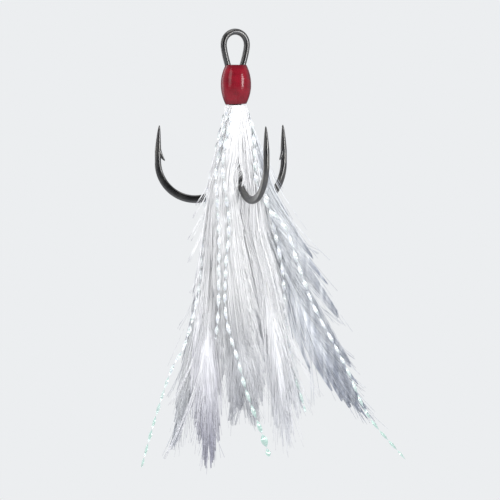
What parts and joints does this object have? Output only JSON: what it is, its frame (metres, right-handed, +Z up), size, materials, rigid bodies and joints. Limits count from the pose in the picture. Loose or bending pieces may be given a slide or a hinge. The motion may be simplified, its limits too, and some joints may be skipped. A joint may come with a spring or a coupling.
{
  "type": "treble hook",
  "caption": "Treble fishing hook with a wire eye, a lacquered thread head and a dressing of hackle feathers and twisted tinsel.",
  "frame": {"origin": "centre of the eye's hole, where a split ring pulls", "axes": "+Z up along the shank towards the eye, -Y out of the dressing's front face, +X to the right seen from the front"},
  "size_m": [0.0428, 0.0227, 0.0703],
  "materials": {
    "black_nickel_steel": "polished black nickel plating",
    "braze": "plated braze run",
    "thread": "waxed tying thread",
    "lacquer": "gloss",
    "quill": "satin horn",
    "hackle": "soft feather barbs",
    "tinsel": "pearlescent film"
  },
  "bodies": {
    "hook": {"double_hook_wire": "black_nickel_steel", "single_hook_wire": "black_nickel_steel", "braze_left": "braze", "braze_right": "braze", "braze_back": "braze", "thread_underwrap": "thread", "thread_head": "thread", "head_lacquer": "lacquer", "quill_butt_left": "quill", "quill_butt_middle": "quill", "quill_butt_centre_right": "quill", "quill_butt_right": "quill", "quill_butt_back_right": "quill", "quill_butt_back_left": "quill", "tinsel_butt_left": "tinsel", "tinsel_butt_centre_left": "tinsel", "tinsel_butt_centre": "tinsel", "tinsel_butt_right": "tinsel", "tinsel_butt_short_right": "tinsel", "tinsel_butt_back": "tinsel"},
    "left_wing": {"quill_left": "quill", "vane_left": "hackle", "quill_middle": "quill", "vane_middle": "hackle", "tinsel_left": "tinsel", "tinsel_centre_left": "tinsel", "tinsel_centre": "tinsel"},
    "right_wing": {"quill_centre_right": "quill", "vane_centre_right": "hackle", "quill_right": "quill", "vane_right": "hackle", "tinsel_right": "tinsel", "tinsel_short_right": "tinsel"},
    "back_wing": {"quill_back_left": "quill", "vane_back_left": "hackle", "quill_back_right": "quill", "vane_back_right": "hackle", "tinsel_back": "tinsel"}
  },
  "joints": [
    {"name": "left_wing_flare", "type": "hinge", "parent": "hook", "child": "left_wing", "pos_m": [-0.00086, -0.00113, -0.0092], "axis": [-0.7934, 0.6088, 0], "range_deg": [0, 12], "stiffness_Nm_per_rad": 0.0002},
    {"name": "right_wing_flare", "type": "hinge", "parent": "hook", "child": "right_wing", "pos_m": [0.00142, 0, -0.0092], "axis": [0, -1, 0], "range_deg": [0, 12], "stiffness_Nm_per_rad": 0.0002},
    {"name": "back_wing_flare", "type": "hinge", "parent": "hook", "child": "back_wing", "pos_m": [-0.00054, 0.00131, -0.0092], "axis": [0.9239, 0.3827, 0], "range_deg": [0, 12], "stiffness_Nm_per_rad": 0.0002}
  ]
}
